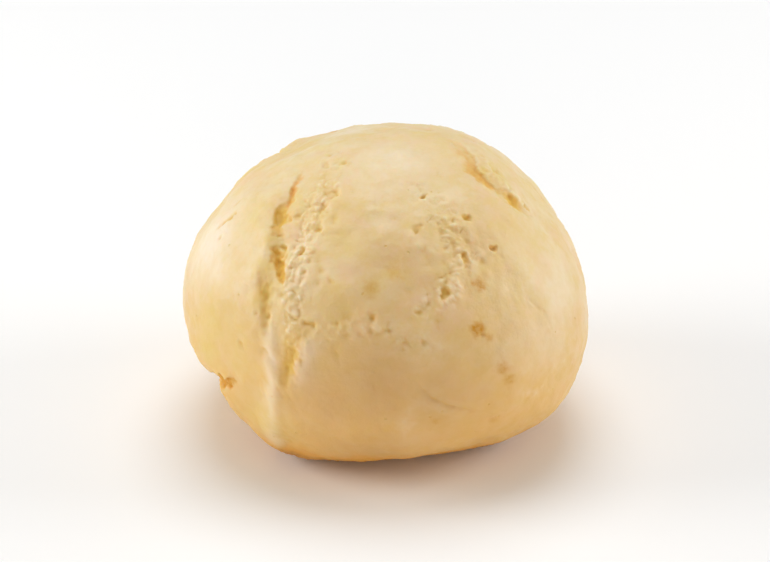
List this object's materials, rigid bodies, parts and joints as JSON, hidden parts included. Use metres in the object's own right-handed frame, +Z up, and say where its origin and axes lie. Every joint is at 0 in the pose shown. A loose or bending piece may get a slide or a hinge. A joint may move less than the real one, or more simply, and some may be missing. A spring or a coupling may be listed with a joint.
{
  "type": "pao de queijo cheese ball",
  "caption": "Baked cheese bread ball with a split, pitted cream crust, a little wider than it is deep and flatter than a sphere, with a small flat base.",
  "frame": {"origin": "the point on the surface it rests on, under the middle of the ball's box", "axes": "+X to the right, along the widest line; +Z up; the front, with the long tear left of its middle, faces -Y"},
  "size_m": [0.0558, 0.0544, 0.0415],
  "materials": {
    "crust": "matte"
  },
  "bodies": {
    "root": {"cheese_ball": "crust"}
  },
  "joints": []
}
